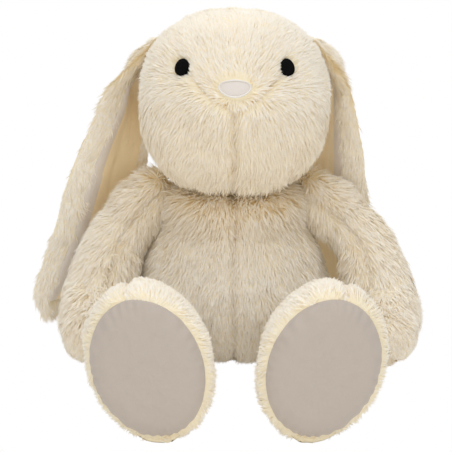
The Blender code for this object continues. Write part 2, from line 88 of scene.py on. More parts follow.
# Share of the way up, half width and height.
TORSO = np.array(
    [
        (0.00, 0.0680, 0.0000),
        (0.07, 0.0805, 0.0072),
        (0.16, 0.0925, 0.0235),
        (0.28, 0.0985, 0.0470),
        (0.41, 0.0975, 0.0735),
        (0.54, 0.0893, 0.0985),
        (0.66, 0.0780, 0.1215),
        (0.78, 0.0640, 0.1423),
        (0.88, 0.0526, 0.1552),
        (0.95, 0.0395, 0.1594),
        (1.00, 0.0240, 0.1606),
    ]
)
ROUNDED = 0.12  # the share of a limb's panels that rounds off an end
# How far along, the middle (x, y, z), the two half widths and the roll in degrees.
ARM = np.array(
    [
        (0.000, 0.0800, 0.0030, 0.1565, 0.0195, 0.0195, 0),
        (0.028, 0.1010, -0.0030, 0.1370, 0.0265, 0.0265, 0),
        (0.056, 0.1195, -0.0120, 0.1125, 0.0310, 0.0310, 0),
        (0.088, 0.1310, -0.0270, 0.0850, 0.0350, 0.0350, 0),
        (0.119, 0.1378, -0.0450, 0.0600, 0.0365, 0.0362, 0),
        (0.147, 0.1398, -0.0680, 0.0450, 0.0355, 0.0350, 0),
        (0.165, 0.1390, -0.0850, 0.0390, 0.0320, 0.0320, 0),
    ]
)
ARM_SPREAD = {"left": 0.0085, "right": -0.0025}
LEG = np.array(
    [
        (0.000, 0.0650, -0.1010, 0.0440, 0.0245, 0.0245, 0),
        (0.024, 0.0665, -0.1240, 0.0425, 0.0365, 0.0370, 0),
        (0.052, 0.0685, -0.1500, 0.0460, 0.0415, 0.0440, 5),
        (0.082, 0.0705, -0.1780, 0.0560, 0.0465, 0.0545, 11),
        (0.110, 0.0720, -0.2040, 0.0675, 0.0515, 0.0660, 14),
        (0.132, 0.0725, -0.2250, 0.0728, 0.0545, 0.0722, 15),
        (0.150, 0.0730, -0.2420, 0.0735, 0.0540, 0.0715, 15),
        (0.160, 0.0735, -0.2510, 0.0732, 0.0490, 0.0655, 15),
    ]
)
# Share of the length, the front edge (x, y, z), the width and how far the flap turns from side on.
EAR = {
    "right": np.array(
        [
            (0.00, 0.0800, 0.0005, 0.3230, 0.038, 80),
            (0.06, 0.0935, -0.0030, 0.3055, 0.050, 74),
            (0.18, 0.1150, -0.0060, 0.2775, 0.066, 56),
            (0.32, 0.1370, -0.0040, 0.2370, 0.078, 28),
            (0.46, 0.1580, 0.0060, 0.1940, 0.082, 12),
            (0.60, 0.1750, 0.0190, 0.1500, 0.088, 4),
            (0.74, 0.1880, 0.0290, 0.1060, 0.086, 2),
            (0.87, 0.2040, 0.0330, 0.0600, 0.074, 0),
            (0.95, 0.2110, 0.0340, 0.0340, 0.056, 0),
            (1.00, 0.2060, 0.0350, 0.0150, 0.026, 0),
        ]
    ),
    "left": np.array(
        [
            (0.00, 0.0800, 0.0005, 0.3230, 0.038, 80),
            (0.06, 0.0930, -0.0020, 0.3055, 0.050, 78),
            (0.18, 0.1100, 0.0005, 0.2750, 0.062, 66),
            (0.32, 0.1220, 0.0090, 0.2340, 0.072, 46),
            (0.46, 0.1320, 0.0220, 0.1890, 0.082, 26),
            (0.60, 0.1380, 0.0360, 0.1450, 0.088, 16),
            (0.74, 0.1430, 0.0460, 0.1010, 0.086, 12),
            (0.87, 0.1460, 0.0500, 0.0570, 0.074, 8),
            (0.95, 0.1450, 0.0510, 0.0310, 0.056, 6),
            (1.00, 0.1380, 0.0520, 0.0130, 0.026, 6),
        ]
    ),
}
# Across the flap: share, how far in and how far back, over its width.
EAR_SECTION = np.array(
    [
        (0.00, 0.00, 0.00),
        (0.13, 0.12, -0.05),
        (0.26, 0.25, -0.05),
        (0.40, 0.36, 0.05),
        (0.58, 0.50, 0.20),
        (0.78, 0.70, 0.32),
        (1.00, 0.92, 0.36),
    ]
)
EAR_ROOT_DROP, EAR_ROOT_SHARE = 0.009, 0.15  # how far the back of the root drops, and over what share
EAR_CLEAR = 0.0040  # the lowest that the ear's middle lies
TAIL_START = math.radians(24)  # where the torso takes over from the tail's ball
FLOOR = 0.0008  # the lowest that a limb lies

# ---------------------------------------------------------------- the looks

SKIN_IN = 0.0048  # the skin under the pile, inside the pressed surface
SKIN_LOW = 0.0006  # the lowest that it lies
SEAM_DIP, SEAM_WIDE = 0.0035, 0.0045  # how much deeper a seam pulls it, and how far to the side
BUMPS = ((0.0010, 0.011), (0.0006, 0.0055))  # the height and the size of its two kinds of bump
PILE = 0.0135  # the length of a tuft
TUFT_HALF_WIDE = 0.00060
TUFT_LOW = 0.0004  # the lowest that one lies
TUFTS_PER_M2 = 760000
CLUMP_AREA = 0.0065**2
SWAY, SWAY_SIZE = 0.45, 0.02  # how much the lie of the pile changes, and over what distance
CLUMP_SWAY = 0.7  # and that of the clumps that the tufts gather in
STRAY = 0.22  # how far each tuft strays from it
STAND = 0.30  # how far a tuft's tip stands off the skin, over its length
SAMPLES = (90, 120)  # cells of a panel across and along, for spreading the tufts evenly
THREAD = 0.0005  # the width of a satin stitch


def table(rows, t):
    """The rows at each t of a table whose first column rises, by a cubic through its points."""
    x, y = rows[:, 0], rows[:, 1:]
    slope = np.gradient(y, x, axis=0)
    i = np.clip(np.searchsorted(x, t) - 1, 0, len(x) - 2)
    h = (x[i + 1] - x[i])[:, None]
    s = (t[:, None] - x[i][:, None]) / h
    return (
        (1 + 2 * s) * (1 - s) ** 2 * y[i]
        + s * (1 - s) ** 2 * h * slope[i]
        + s * s * (3 - 2 * s) * y[i + 1]
        + s * s * (s - 1) * h * slope[i + 1]
    )


def unit(v):
    return v / np.maximum(np.linalg.norm(v, axis=-1, keepdims=True), 1e-12)


def dot(a, b):
    return (a * b).sum(-1, keepdims=True)


def fade(x, start, over):
    """0 up to the start and 1 once x is past it by as much as over, which is negative for a fall."""
    return np.clip((x - start) / over, 0, 1)


def head_point(across, around, proud=0.0):
    """The head's surface at those angles to the side and round from the nose over the crown."""
    d = np.stack(
        [np.sin(across), -np.cos(across) * np.cos(around), np.cos(across) * np.sin(around)], -1
    )
    base = (np.abs(d / HEAD_HALF) ** HEAD_ROUND).sum(-1) ** (-1 / HEAD_ROUND)
    snout = np.array([0.0, -math.cos(SNOUT_RISE), math.sin(SNOUT_RISE)])
    off = np.arccos(np.clip(d @ snout, -1, 1))
    base = base + SNOUT_OUT * np.exp(-((off / SNOUT_WIDE) ** 2))
    low = (around + math.pi) % math.tau - math.pi - CHEEK_AROUND
    beside = (np.abs(across) - CHEEK_ACROSS) / CHEEK_WIDE
    cheek = np.exp(-((low / CHEEK_TALL) ** 2)) * np.exp(-(beside**2))
    base = base + CHEEK_OUT * cheek * np.maximum(np.cos(across), 0) ** 0.5
    return HEAD_CENTRE + d * (base + proud)[:, None]


def gusset_half(around):
    degrees = np.degrees(around)
    inside = (degrees > GUSSET[0, 0]) & (degrees < GUSSET[-1, 0])
    width = np.maximum(0, table(GUSSET, np.clip(degrees, GUSSET[0, 0], GUSSET[-1, 0]))[:, 0])
    return np.where(inside, np.arcsin(np.clip(width / HEAD_HALF[0], 0, 0.9)), 0.0)


def cheek_surface(side):
    def place(u, v):
        around = CHEEK_START + v * math.tau
        wrapped = around % math.tau
        start = gusset_half(wrapped)
        return head_point(side * (start + (math.pi / 2 - start) * u), wrapped)

    return place


def gusset_surface(u, v):
    around = np.radians(GUSSET_START + v * GUSSET_TURN)
    return head_point((2 * u - 1) * gusset_half(around), around)


def torso_surface(first):
    def place(u, v):
        a = (first + 0.25 * u) * math.tau
        half, height = table(TORSO, v).T
        c, s = np.cos(a), np.sin(a)
        depth = np.where(s > 0, TORSO_BACK, TORSO_FRONT)
        return np.stack([half * c, half * s * depth, height], -1)

    return place


def limb_surface(stations, lateral, side, capped, first):
    """The half of a limb's surface that starts at that turn; the cap rounds its far end off."""

    def place(u, v):
        turn = (first + 0.5 * u) * math.tau
        end = 1 - ROUNDED if capped else 1.0
        head, tail = v < ROUNDED, v > end
        share = np.clip((v - ROUNDED) / (end - ROUNDED), 0, 1)
        past = np.where(tail, (v - end) / max(1 - end, 1e-9), 0)
        angle = np.where(head, (1 - v / ROUNDED), past) * math.pi / 2
        back = np.where(head, -np.sin(angle), np.sin(angle))
        squeeze = np.cos(angle)
        low, high = stations[0, 0], stations[-1, 0]
        t = low + share * (high - low)
        row = table(stations, t)
        step = 0.02 * (high - low)
        ahead = table(stations, np.minimum(high, t + step))[:, :3]
        along = unit(ahead - table(stations, np.maximum(low, t - step))[:, :3])
        wide = unit(lateral - dot(along, lateral) * along)
        tall = np.cross(wide, along)
        roll = np.radians(row[:, 5:6])
        turned = wide * np.cos(roll) + tall * np.sin(roll)
        tall = tall * np.cos(roll) - wide * np.sin(roll)
        a, b = row[:, 3:4], row[:, 4:5]
        c, s = np.cos(turn)[:, None], np.sin(turn)[:, None]
        point = row[:, :3] + along * back[:, None] * a + squeeze[:, None] * (turned * a * c + tall * b * s)
        point[:, 2] = np.maximum(point[:, 2], FLOOR)
        return point * np.array([side, 1, 1])

    return place


def ear_middle(label):
    side = 1 if label == "left" else -1

    def place(u, v):
        x, y, z, width, turn = table(EAR[label], v).T
        inward, back = (table(EAR_SECTION, u) * width[:, None]).T
        a = np.radians(turn)
        inward, back = inward * np.cos(a) - back * np.sin(a), inward * np.sin(a) + back * np.cos(a)
        z = z - EAR_ROOT_DROP * u**1.5 * np.maximum(0, 1 - v / EAR_ROOT_SHARE)
        return np.stack([side * (x - inward), y + back, np.maximum(z, EAR_CLEAR)], -1)

    return place


def tail_surface(u, v):
    a, h = u * math.tau, TAIL_START + v * (math.pi - TAIL_START)
    d = np.stack([np.sin(h) * np.cos(a), -np.cos(h), np.sin(h) * np.sin(a)], -1)
    return TAIL_CENTRE + TAIL_RADIUS * d


# ---------------------------------------------------------------- noise and normals

LATTICE = np.random.default_rng(7).random((4, 32, 32, 32))


def noise(p, size, channel=0):
    """Smooth noise from -1 to 1 with features of that size."""
    q = p / size + 100.0
    i = np.floor(q).astype(int)
    f = q - i
    f = f * f * (3 - 2 * f)
    grid = LATTICE[channel]
    total = 0
    for dx in (0, 1):
        for dy in (0, 1):
            for dz in (0, 1):
                w = (
                    (f[:, 0] if dx else 1 - f[:, 0])
                    * (f[:, 1] if dy else 1 - f[:, 1])
                    * (f[:, 2] if dz else 1 - f[:, 2])
                )
                total = total + w * grid[(i[:, 0] + dx) % 32, (i[:, 1] + dy) % 32, (i[:, 2] + dz) % 32]
    return total * 2 - 1


def frame_at(place, u, v, flip):
    """Positions, outward normals and the step along v at each u, v."""
    e = 0.004
    u0, u1 = np.clip(u - e, 0, 1), np.clip(u + e, 0, 1)
    v0, v1 = np.clip(v - e, 0, 1), np.clip(v + e, 0, 1)
    p = place(u, v)
    along_u = place(u1, v) - place(u0, v)
    along_v = place(u, v1) - place(u, v0)
    n = np.cross(along_u, along_v)
    weak = np.linalg.norm(n, axis=-1) < 1e-12
    if weak.any():
        inner_v = np.clip(v, 0.01, 0.99)
        inner_u = np.clip(u, 0.01, 0.99)
        a = place(np.clip(inner_u + e, 0, 1), inner_v) - place(np.clip(inner_u - e, 0, 1), inner_v)
        b = place(inner_u, inner_v + e) - place(inner_u, inner_v - e)
        n = np.where(weak[:, None], np.cross(a, b), n)
    return p, unit(n) * flip, unit(along_v)


# ---------------------------------------------------------------- fur


def as_function(value):
    """A plain value as a function of place, so that both can be given."""
    return value if callable(value) else lambda p: np.full(len(p), value)


class Panel:
    """One fur panel: its surface, which way is out, which edges are seams and how its pile lies.

    length and rise multiply how long the tufts are and how far they stand, lift raises the skin, tight is how
    hard the seams pull in, pale shifts the mix of shades to paint light and shade on the pile, trim shortens
    the pile and cover leaves gaps in it.
    """

    def __init__(self, name, place, flip, flow, body, nodes, seams=("u0", "u1"), **more):
        self.name, self.place, self.flip, self.flow = name, place, flip, flow
        self.body, self.nodes, self.seams = body, nodes, seams
        self.size = more.get("size", (40, 60))
        self.trim = more.get("trim")
        self.length = as_function(more.get("length", 1.0))
        self.rise = as_function(more.get("rise", 1.0))
        self.lift = as_function(more.get("lift", 0.0))
        self.tight = as_function(more.get("tight", 1.0))
        self.pale = as_function(more.get("pale", 0.0))
        self.cover = more.get("cover")
        self.blend = more.get("blend")

    def seam_distance(self, u, v):
        """Roughly how far each point is from the panel's nearest seam."""
        far = np.full(len(u), 1.0)
        p = self.place(u, v)
        edges = {"u0": (0 * u, v), "u1": (0 * u + 1, v), "v0": (u, 0 * v), "v1": (u, 0 * v + 1)}
        for seam in self.seams:
            far = np.minimum(far, np.linalg.norm(self.place(*edges[seam]) - p, axis=-1))
        return far

    def skin_point(self, u, v):
        """The skin at u, v, the way out, the way along, the distance from a seam and the CAD surface."""
        p, n, along = frame_at(self.place, u, v, self.flip)
        seam = self.seam_distance(u, v)
        dip = SEAM_DIP * self.tight(p) * np.exp(-((seam / SEAM_WIDE) ** 2))
        (tall, wide), (fine, narrow) = BUMPS
        bumps = tall * noise(p, wide) + fine * noise(p, narrow, 1)
        root = p - n * (SKIN_IN - self.lift(p) + dip - bumps)[:, None]
        root[:, 2] = np.maximum(root[:, 2], SKIN_LOW)
        return root, n, along, seam, p


def grid_mesh(rows, columns, closed):
    """The faces of a grid of vertices, in rows."""
    i = np.arange(rows - 1)[:, None] * columns
    j = np.arange(columns if closed else columns - 1)[None, :]
    k = (j + 1) % columns
    quads = np.stack([i + j, i + k, i + columns + k, i + columns + j], -1)
    return quads.reshape(-1, 4)


def cell_areas(panel):
    """The running total of the areas of the panel's cells."""
    nu, nv = SAMPLES
    u, v = np.meshgrid(np.linspace(0, 1, nu + 1), np.linspace(0, 1, nv + 1), indexing="ij")
    p = panel.place(u.ravel(), v.ravel()).reshape(nu + 1, nv + 1, 3)
    area = np.linalg.norm(np.cross(p[1:, :-1] - p[:-1, :-1], p[:-1, 1:] - p[:-1, :-1]), axis=-1)
    sums = np.concatenate([[0], np.cumsum(area.ravel())])
    return sums


def draw(sums, count, rng):
    """That many u, v spread evenly over the panel by area."""
    nu, nv = SAMPLES
    at = (np.arange(count) + rng.random(count)) / count * sums[-1]
    cell = np.clip(np.searchsorted(sums, at, side="right") - 1, 0, nu * nv - 1)
    return (cell // nv + rng.random(count)) / nu, (cell % nv + rng.random(count)) / nv


STEPS = (0.0, 0.5, 1.0)  # along a tuft
WIDTHS = (1.0, 0.85, 0.0)  # its width there
LIGHT_SLOT, MIDDLE_SLOT, WARM_SLOT = 2, 3, 4  # of FUR_SLOTS
BATCH = 4000


def lie_of_pile(panel, place, n, along, sway):
    """Which way the pile lies there, with slow changes of that strength."""
    wander = np.stack([noise(place, SWAY_SIZE, c) for c in range(3)], -1)
    return panel.flow(place, n, along) + sway * wander


def flat(flow, n):
    """A direction turned down onto the surface whose outward normal is n."""
    return unit(flow - dot(flow, n) * n)


def nearest_of(points, centres):
    """For each point, which centre is nearest, in batches that keep the memory small."""
    nearest = np.empty(len(points), int)
    for start in range(0, len(points), BATCH):
        piece = points[start : start + BATCH]
        nearest[start : start + BATCH] = ((piece[:, None] - centres[None]) ** 2).sum(-1).argmin(1)
    return nearest


def lay_tufts(panel, rng, density):
    """The corners and shades of the panel's tufts, each a tapered blade of two steps."""
    sums = cell_areas(panel)
    count = int(sums[-1] * density)
    u, v = draw(sums, count, rng)
    if panel.cover is not None:
        keep = panel.cover(u, v)
        u, v = u[keep], v[keep]
        count = len(u)
    root, n, along, seam, surface = panel.skin_point(u, v)
    flow = lie_of_pile(panel, surface, n, along, SWAY)
    flow = flat(flow + STRAY * rng.normal(size=flow.shape), n)
    length = PILE * panel.length(surface) * (0.78 + 0.44 * rng.random(count))
    short = 1 - 0.45 * panel.tight(surface) * np.exp(-((seam / 0.0055) ** 2))
    if panel.trim is not None:
        short = short * panel.trim(surface)
    length = length * short
    rise = panel.rise(surface) * (STAND + 0.13 * noise(surface, 0.014, 2) + 0.07 * rng.normal(size=count))
    rise = np.clip(rise, 0.06, 0.9)

    clumps = max(4, int(sums[-1] / CLUMP_AREA))
    cu, cv = draw(sums, clumps, rng)
    centre, cn, calong, _, csurface = panel.skin_point(cu, cv)
    cflow = flat(lie_of_pile(panel, csurface, cn, calong, CLUMP_SWAY), cn)
    reach = 0.95 * cflow + (STAND * panel.rise(csurface))[:, None] * cn
    tip = centre + (PILE * panel.length(csurface))[:, None] * reach
    nearest = nearest_of(root, centre)
    pull = 0.42 * rng.random(count) ** 0.7

    left, right = [], []
    side = unit(np.cross(n, flow))
    roll = rng.normal(size=(count, 1)) * STRAY
    side = unit(side * np.cos(roll) + n * np.sin(roll))
    width = TUFT_HALF_WIDE * (0.7 + 0.6 * rng.random(count))
    for s, w in zip(STEPS, WIDTHS):
        out = flow * (0.94 * s) + n * (rise * (1 - (1 - s) ** 1.8))[:, None]
        point = root + out * length[:, None]
        goal = tip[nearest] - (tip[nearest] - centre[nearest]) * (1 - s)
        goal = goal + (root - centre[nearest]) * (1 - s * 0.85)
        point = point + (goal - point) * (pull * s * short)[:, None]
        point[:, 2] = np.maximum(point[:, 2], TUFT_LOW)
        left.append(point - side * (width * w)[:, None])
        right.append(point + side * (width * w)[:, None])
    # The random tone is the fur's own; panel.pale adds painted light and painted shade by region.
    tone = noise(surface, 0.03, 3) * 0.55 + rng.normal(size=count) * 0.75 + panel.pale(surface)
    shade = np.where(tone > 0.55, LIGHT_SLOT, np.where(tone < -0.75, WARM_SLOT, MIDDLE_SLOT))
    return left, right, shade


def fur_mesh(panel, rng, density):
    """One mesh with the skin and the tufts of a panel. Its slots are skin, root, light, middle and warm."""
    nu, nv = panel.size
    u, v = np.meshgrid(np.linspace(0, 1, nu), np.linspace(0, 1, nv))
    skin = panel.skin_point(u.ravel(), v.ravel())[0]
    quads = grid_mesh(nv, nu, False)
    if panel.flip < 0:
        quads = quads[:, ::-1]
    left, right, shade = lay_tufts(panel, rng, density)
    n = len(shade)
    base = len(skin)
    # The last step is a single tip.
    corners = np.concatenate([skin, left[0], right[0], left[1], right[1], left[2]])
    i = np.arange(n)
    l0, r0, l1, r1, tip = (base + n * k + i for k in range(5))
    quads = np.concatenate([quads, np.stack([l0, l1, r1, r0], -1)])
    tris = np.stack([l1, tip, r1], -1)
    slots = np.concatenate([np.zeros(len(quads) - n, int), np.ones(n, int), shade])
    return corners, quads, tris, slots


def build_mesh(name, corners, quads, tris, slots, materials):
    mesh = bpy.data.meshes.new(name)
    mesh.vertices.add(len(corners))
    mesh.vertices.foreach_set("co", corners.astype(np.float32).ravel())
    loops = np.concatenate([quads.ravel(), tris.ravel()])
    mesh.loops.add(len(loops))
    mesh.loops.foreach_set("vertex_index", loops.astype(np.int32))
    totals = np.concatenate([np.full(len(quads), 4), np.full(len(tris), 3)])
    starts = np.concatenate([[0], np.cumsum(totals)[:-1]])
    mesh.polygons.add(len(totals))
    mesh.polygons.foreach_set("loop_start", starts.astype(np.int32))
    mesh.update(calc_edges=True)
    mesh.validate()
    for m in materials:
        mesh.materials.append(m)
    mesh.polygons.foreach_set("material_index", slots.astype(np.int32))
    mesh.shade_smooth()
    obj = bpy.data.objects.new(name, mesh)
    bpy.context.scene.collection.objects.link(obj)
    return obj


# ---------------------------------------------------------------- materials


def shader_material(name, colour, roughness, sheen=0.0, tint=None):
    made = bpy.data.materials.new(name)
    made.use_nodes = True
    shader = made.node_tree.nodes["Principled BSDF"]
    shader.inputs["Base Color"].default_value = (*colour, 1.0)
    shader.inputs["Roughness"].default_value = roughness
    shader.inputs["Specular IOR Level"].default_value = 0.15
    shader.inputs["Sheen Weight"].default_value = sheen
    shader.inputs["Sheen Roughness"].default_value = 0.5
    if tint is not None:
        shader.inputs["Sheen Tint"].default_value = (*tint, 1.0)
    return made


# The skin and the roots are a deeper, warmer cream than the tips, which paints shade deep in the pile.
SKIN = shader_material("fur skin", (0.95, 0.86, 0.64), 1.0)
ROOT = shader_material("fur root", (0.958, 0.885, 0.70), 1.0)
LIGHT = shader_material("fur light", (0.975, 0.945, 0.880), 0.9, 0.10, (1, 0.97, 0.9))
MIDDLE = shader_material("fur middle", (0.968, 0.925, 0.835), 0.9, 0.10, (1, 0.97, 0.9))
WARM = shader_material("fur warm", (0.958, 0.895, 0.770), 0.9, 0.10, (1, 0.95, 0.85))
FUR_SLOTS = [SKIN, ROOT, LIGHT, MIDDLE, WARM]
VELOUR = shader_material("velour", (0.525, 0.463, 0.415), 0.95, 0.35, (1, 0.98, 0.95))
# The warm lining is a painted shade of the pale one: the ochre of light bounced round the ear's recess.
LINING_PAINTED_SHADE = shader_material("lining", (0.95, 0.80, 0.54), 0.95, 0.25, (1, 0.97, 0.92))
LINING_PALE = shader_material("pale lining", (0.80, 0.745, 0.69), 0.95, 0.3, (1, 0.98, 0.95))
NOSE = shader_material("nose velour", (0.80, 0.75, 0.71), 0.9, 0.3, (1, 0.98, 0.95))
WHITE_THREAD = shader_material("white thread", (0.89, 0.87, 0.84), 0.6)
BLACK_THREAD = shader_material("black thread", (0.001, 0.001, 0.0012), 0.9)
RIBBON = shader_material("ribbon", (0.93, 0.92, 0.90), 0.4)


# ---------------------------------------------------------------- how the pile lies

NOSE_TIP = np.array([0.0, -0.115, 0.276])


def head_flow(p, n, along):
    """The pile runs away from the nose, up over the crown and down the cheeks."""
    away = unit(p - NOSE_TIP)
    down = np.array([0.0, 0.0, -1.0])
    low = fade(p[:, 2:3], 0.297, -0.045)
    back = np.array([0.0, 1.0, 0.15])
    return away * (1 - 0.55 * low) + down * low + back * 0.35 * (1 - low)


def chin_rise(p):
    """The pile hangs away from the underside of the head and lies flatter over the crown."""
    return 1 + 0.7 * fade(p[:, 2], 0.192, -0.014) - 0.35 * fade(p[:, 2], 0.312, 0.02)


def chin_length(p):
    """It is longer under the head."""
    return 1 + 0.1 * np.maximum(chin_rise(p) - 1, 0)


def chin_tight(p):
    """How hard the seam under the nose pulls in: less under the chin, and the same over the crown."""
    return (0.45 + 0.75 * fade(p[:, 2], 0.190, 0.02)) * crown_tight(p)


def snout_painted_shade(p):
    """The pile takes warmer, darker shades low on the front of the head: painted shade under the snout and
    the chin.
    """
    return -1.6 * fade(p[:, 2], 0.274, -0.04) * (p[:, 1] < 0)


def crown_tight(p):
    """The seams over the crown and down the back are hardly drawn in, where the head is stuffed tight."""
    high = fade(p[:, 2], 0.284, 0.012)
    back = fade(p[:, 1], -0.010, 0.03)
    return 1 - 0.85 * np.maximum(high, back)


def torso_flow(p, n, along):
    """The pile hangs down and a little outward."""
    out = unit(np.stack([p[:, 0], 0.3 * p[:, 1], 0 * p[:, 0]], -1))
    return np.array([0.0, 0.0, -1.0]) + 0.18 * out


def limb_flow(p, n, along):
    """The pile hangs down and a little outward and back."""
    out = np.stack([np.sign(p[:, 0]), 0 * p[:, 0], 0 * p[:, 0]], -1)
    return 0.3 * along + 0.3 * out + np.array([0.0, 0.25, -0.8])


def leg_flow(p, n, along):
    """The pile runs back from the sole's seam."""
    return -along + np.array([0.0, 0.0, -0.45])


def ear_flow(p, n, along):
    """The pile runs down the ear."""
    return along


def ear_rise(p):
    """The pile stands up where the ear is sewn on, and hides the seam."""
    return 0.65 + 0.6 * fade(p[:, 2], 0.255, 0.04)


def ear_length(p):
    """It is shorter there, so that the head's own pile runs over it."""
    return 1 - 0.35 * fade(p[:, 2], 0.285, 0.025)


def tail_flow(p, n, along):
    """The pile runs out from the torso and hangs."""
    return along + np.array([0.0, 0.0, -0.5])


def face_places():
    """Where the two eyes and the nose are."""
    eyes = [head_point(np.array([k * EYE_ACROSS]), np.array([EYE_AROUND]))[0] for k in (1, -1)]
    nose = head_point(np.array([0.0]), np.array([NOSE_AROUND]))[0]
    return eyes, nose


def face_trim(p):
    """The pile is clipped short round the nose and the eyes."""
    eyes, nose = face_places()
    trim = 1 - 0.45 * np.exp(-((np.linalg.norm(p - nose, axis=-1) / 0.030) ** 2))
    for eye in eyes:
        trim = trim * (1 - 0.5 * np.exp(-((np.linalg.norm(p - eye, axis=-1) / 0.013) ** 2)))
    return trim


def belly_painted_light(p):
    """It is paler low on the belly: painted light, for the light thrown up between the legs."""
    return fade(p[:, 2], 0.125, -0.04)


def neck_trim(p):
    """The pile stands longer round the neck, where it fills the fold under the chin."""
    return 1 + 0.5 * fade(p[:, 2], 0.138, 0.02)


def neck_rise(p):
    """It also stands up there."""
    return 1 + 0.5 * fade(p[:, 2], 0.142, 0.014)


def neck_lift(p):
    """The stuffing bulges there, pressed up by the head."""
    high = fade(p[:, 2], 0.134, 0.020)
    wide = fade(np.abs(p[:, 0]), 0.028, 0.02)
    return (0.0115 + 0.003 * wide) * high


def shoulder_rise(p):
    """The pile stands up round the seam where an arm is sewn on."""
    d = np.minimum(
        np.linalg.norm(p - np.array(ARM_PIVOT), axis=-1),
        np.linalg.norm(p - np.array(ARM_PIVOT) * np.array([-1, 1, 1]), axis=-1),
    )
    return 1 + 0.35 * fade(d, 0.045, -0.02)


def shoulder_length(p):
    """It is longer at that seam, and shorter over the paw, where it would stand out when the arm lifts."""
    return (1 + 0.55 * (shoulder_rise(p) - 1)) * (1 - 0.4 * fade(p[:, 2], 0.062, -0.03))


def shoulder_lift(p):
    """The stuffing bulges at that seam."""
    return 0.015 * (shoulder_rise(p) - 1)


NOSE_GAP, EYE_GAP = (0.0165, 0.0105), (0.0072, 0.0085)  # half the width and height of the gaps in the pile


def off_face_parts(p):
    """True where no eye or nose patch lies."""
    eyes, nose = face_places()
    d = p - nose
    free = (d[:, 0] / NOSE_GAP[0]) ** 2 + ((d[:, 2] + 0.001) / NOSE_GAP[1]) ** 2 > 1
    for eye in eyes:
        d = p - eye
        free &= (d[:, 0] / EYE_GAP[0]) ** 2 + (d[:, 2] / EYE_GAP[1]) ** 2 > 1
    return free | (p[:, 1] > -0.04)


# ---------------------------------------------------------------- the panels

ARM_LATERAL = unit(np.array([0.80, 0.05, 0.60]))
LEG_LATERAL = np.array([1.0, 0.0, 0.0])


def arm_stations(label):
    rows = ARM.copy()
    rows[:, 1] += ARM_SPREAD[label] * np.minimum(1.0, rows[:, 0] / 0.06)
    return rows


def head_panels():
    made = []
    for side, label in ((1, "left"), (-1, "right")):
        surface = cheek_surface(side)
        made.append(
            Panel(
                "fur_head_cheek_" + label,
                surface,
                side,
                head_flow,
                "head",
                ["head_cheek_" + label],
                seams=("u0",),
                size=(48, 160),
                trim=face_trim,
                rise=chin_rise,
                length=chin_length,
                tight=chin_tight,
                pale=snout_painted_shade,
                cover=lambda u, v, surface=surface: off_face_parts(surface(u, v)),
            )
        )
    made.append(
        Panel(
            "fur_head_top_gusset",
            gusset_surface,
            1,
            head_flow,
            "head",
            ["head_top_gusset"],
            size=(44, 110),
            trim=face_trim,
            rise=chin_rise,
            tight=crown_tight,
            cover=lambda u, v: off_face_parts(gusset_surface(u, v)),
        )
    )
    return made


def torso_panels():
    made = []
    for label, first in (("back_left", 0), ("back_right", 0.25), ("front_right", 0.5), ("front_left", 0.75)):
        made.append(
            Panel(
                "fur_torso_" + label,
                torso_surface(first),
                1,
                torso_flow,
                "torso",
                ["torso_" + label],
                size=(50, 70),
                trim=neck_trim,
                pale=belly_painted_light,
                rise=neck_rise,
                lift=neck_lift,
            )
        )
    return made


def limb_panels():
    made = []
    for side, label in ((1, "left"), (-1, "right")):
        for half, first in (("outer", -0.25), ("inner", 0.25)):
            made.append(
                Panel(
                    "fur_arm_%s_%s" % (label, half),
                    limb_surface(arm_stations(label), ARM_LATERAL, side, True, first),
                    -side,
                    limb_flow,
                    "arm_" + label,
                    ["arm_%s_%s" % (label, half)],
                    size=(44, 84),
                    rise=shoulder_rise,
                    length=shoulder_length,
                    lift=shoulder_lift,
                    blend=(
                        "torso",
                        (side * (ARM_PIVOT[0] - 0.012), ARM_PIVOT[1], ARM_PIVOT[2] + 0.012),
                        (side * (ARM_PIVOT[0] + 0.022), ARM_PIVOT[1] - 0.012, ARM_PIVOT[2] - 0.030),
                    ),
                )
            )
            made.append(
                Panel(
                    "fur_leg_%s_%s" % (label, half),
                    limb_surface(LEG, LEG_LATERAL, side, False, first),
                    -side,
                    leg_flow,
                    "leg_" + label,
                    ["leg_%s_%s" % (label, half)],
                    size=(48, 96),
                    seams=("u0", "u1", "v1"),
                    length=0.85,
                    rise=0.8,
                    blend=(
                        "torso",
                        (side * LEG_PIVOT[0], LEG_PIVOT[1] + 0.020, LEG_PIVOT[2]),
                        (side * LEG_PIVOT[0], LEG_PIVOT[1] - 0.030, LEG_PIVOT[2]),
                    ),
                )
            )
    return made


def build_panel(panel, seed, density):
    """Makes a panel's skin and pile as one piece."""
    rng = np.random.default_rng(seed)
    corners, quads, tris, slots = fur_mesh(panel, rng, density)
    obj = build_mesh(panel.name, corners, quads, tris, slots, FUR_SLOTS)
    finish_piece(obj, panel)


def finish_piece(obj, panel):
    """Hangs a panel's piece on its body, or keeps a piece that blends into the next body fixed in place, and
    hides the CAD parts that it replaces.
    """
    if panel.blend is not None:
        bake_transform(obj)
    else:
        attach(obj, panel.body)
    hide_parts(*panel.nodes)


# ---------------------------------------------------------------- ears


EAR_SUNK, EAR_SUNK_SHARE = 0.0105, 0.22  # how deep the root sinks in the head's pile, and over what share
EAR_HALF_THICK = 0.003
EAR_SIZE = (40, 130)
LINING_U, LINING_V = (0.24, 0.91), (0.20, 0.96)
LINING_PUFF = 0.0022
PALE_U, PALE_LEAN = 0.35, 0.05  # how far the pale strip reaches, and how much further at the tip


def ear_surface(label, lift):
    """The ear's front face at a positive lift and its fur side at a negative one."""
    middle = ear_middle(label)
    flip = 1 if label == "left" else -1

    def place(u, v):
        p, n, _ = frame_at(middle, u, v, flip)
        near = EAR_SUNK * np.clip(1 - v / EAR_SUNK_SHARE, 0, 1) ** 0.8
        return p + n * lift - unit(p - HEAD_CENTRE) * near[:, None]

    return place


